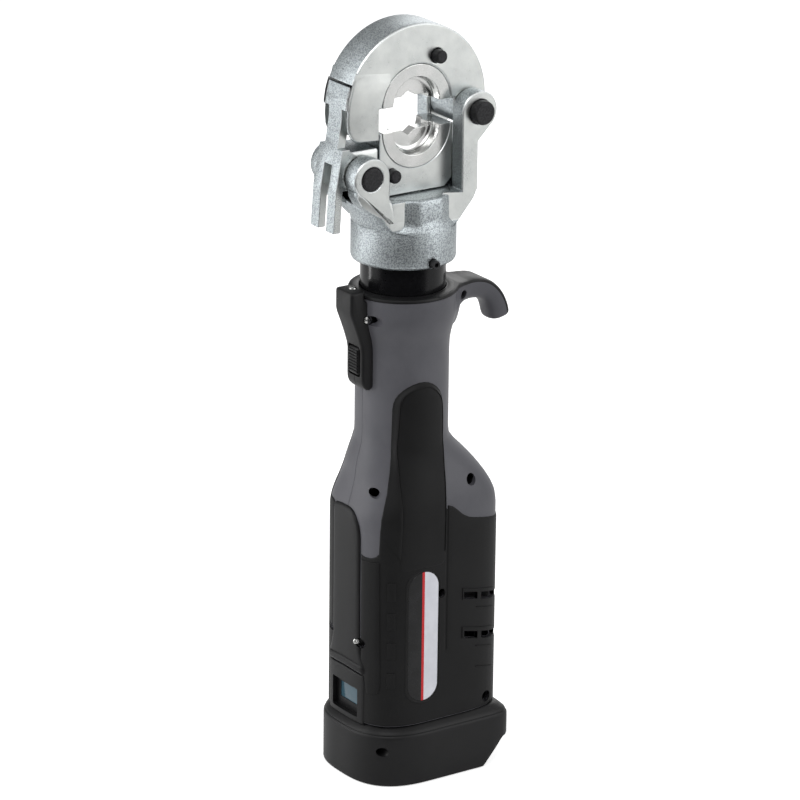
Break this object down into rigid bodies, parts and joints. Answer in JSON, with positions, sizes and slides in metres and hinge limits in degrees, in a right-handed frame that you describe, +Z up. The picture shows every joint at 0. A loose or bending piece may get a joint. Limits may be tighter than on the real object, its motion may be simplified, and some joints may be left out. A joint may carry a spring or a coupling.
{
  "type": "battery hydraulic crimping tool",
  "caption": "Upright battery crimping tool: flip-top steel head with latch lever, pins and changeable half-round dies on a swivelling collar, grey and black grip with hook, trigger and pack.",
  "frame": {"origin": "under the battery pack, where the cylinder's axis meets the surface it stands on", "axes": "+Z up the cylinder's axis to the head, +X to the hook and the hinge pin, -Y to the side with the label"},
  "size_m": [0.1155, 0.073, 0.42],
  "materials": {
    "zinc_steel": "bright zinc plate over cast and milled steel",
    "die_steel": "polished",
    "black_oxide": "black oxide, satin",
    "ground_steel": "ground",
    "spring_steel": "oiled",
    "seal_rubber": "matte",
    "black_tube": "gloss black",
    "pump_casting": "as cast",
    "motor_can": "satin",
    "grey_plastic": "fine texture",
    "soft_black": "soft touch",
    "black_plastic": "fine texture",
    "display_glass": "clear window over a dark blue screen",
    "board_green": "solder mask",
    "label_film": "printed film",
    "bright_screw": "zinc plate",
    "cell_wrap": "shrink wrap",
    "contact_brass": "bright"
  },
  "bodies": {
    "handle": {"cylinder_tube": "black_tube", "pump_block": "pump_casting", "oil_bladder": "seal_rubber", "pump_plunger": "ground_steel", "gearbox": "pump_casting", "motor": "motor_can", "front_shell": "grey_plastic", "rear_shell": "grey_plastic", "front_grip": "soft_black", "rear_grip": "soft_black", "nose_cover": "black_plastic", "top_cap": "black_plastic", "switch_cover": "black_plastic", "micro_switch": "black_plastic", "display_frame": "black_plastic", "display_lens": "display_glass", "circuit_board": "board_green", "label_plate": "label_film", "housing_screws": "bright_screw", "cover_screws": "bright_screw"},
    "head": {"yoke": "zinc_steel", "hinge_pin": "black_oxide", "latch_pin": "black_oxide", "collar_set_screw": "black_oxide", "return_spring": "spring_steel"},
    "ram_body": {"ram": "zinc_steel", "piston": "ground_steel", "piston_seal": "seal_rubber", "lower_die": "die_steel"},
    "lower_button": {"lower_die_button": "black_oxide"},
    "jaw": {"upper_jaw": "zinc_steel", "upper_die": "die_steel"},
    "upper_button": {"upper_die_button": "black_oxide"},
    "latch": {"latch_lever": "zinc_steel"},
    "trigger_body": {"trigger": "black_plastic"},
    "motor_rotor": {"motor_shaft": "ground_steel"},
    "eccentric": {"eccentric_shaft": "ground_steel", "eccentric_bearing": "ground_steel"},
    "battery": {"battery_case": "black_plastic", "battery_lid": "black_plastic", "battery_cells": "cell_wrap", "battery_contacts": "contact_brass"},
    "release": {"battery_release": "black_plastic"}
  },
  "joints": [
    {"name": "head_swivel", "type": "hinge", "parent": "handle", "child": "head", "pos_m": [0, 0, 0.3], "axis": [0, 0, 1], "continuous": true},
    {"name": "ram_stroke", "type": "slide", "parent": "head", "child": "ram_body", "axis": [0, 0, 1], "range_m": [0, 0.0128], "stiffness_N_per_m": 3000, "springref_m": -0.006, "deforming": ["return_spring"]},
    {"name": "jaw_flip", "type": "hinge", "parent": "head", "child": "jaw", "pos_m": [0.0332, 0, 0.3702], "axis": [0, 1, 0], "range_deg": [0, 100]},
    {"name": "latch_swing", "type": "hinge", "parent": "head", "child": "latch", "pos_m": [-0.0343, 0, 0.3433], "axis": [0, -1, 0], "range_deg": [0, 22], "stiffness_Nm_per_rad": 0.8, "springref_deg": -8.59},
    {"name": "upper_die_release", "type": "slide", "parent": "jaw", "child": "upper_button", "axis": [0, 1, 0], "range_m": [0, 0.003], "stiffness_N_per_m": 800, "springref_m": -0.002},
    {"name": "lower_die_release", "type": "slide", "parent": "ram_body", "child": "lower_button", "axis": [0, 1, 0], "range_m": [0, 0.003], "stiffness_N_per_m": 800, "springref_m": -0.002},
    {"name": "trigger_press", "type": "slide", "parent": "handle", "child": "trigger_body", "axis": [1, 0, 0], "range_m": [0, 0.003], "stiffness_N_per_m": 1000, "springref_m": -0.002},
    {"name": "motor_spin", "type": "hinge", "parent": "handle", "child": "motor_rotor", "pos_m": [0, 0, 0.1], "axis": [0, 0, 1], "continuous": true},
    {"name": "eccentric_spin", "type": "hinge", "parent": "handle", "child": "eccentric", "pos_m": [0, 0, 0.18], "axis": [0, 0, 1], "continuous": true},
    {"name": "battery_pull", "type": "slide", "parent": "handle", "child": "battery", "axis": [0, 0, -1], "range_m": [0, 0.03]},
    {"name": "battery_catch", "type": "slide", "parent": "battery", "child": "release", "axis": [-1, 0, 0], "range_m": [0, 0.0025], "stiffness_N_per_m": 800, "springref_m": -0.002}
  ],
  "couplings": [
    {"joint": "eccentric_spin", "follows": "motor_spin", "ratio": 0.0625}
  ]
}
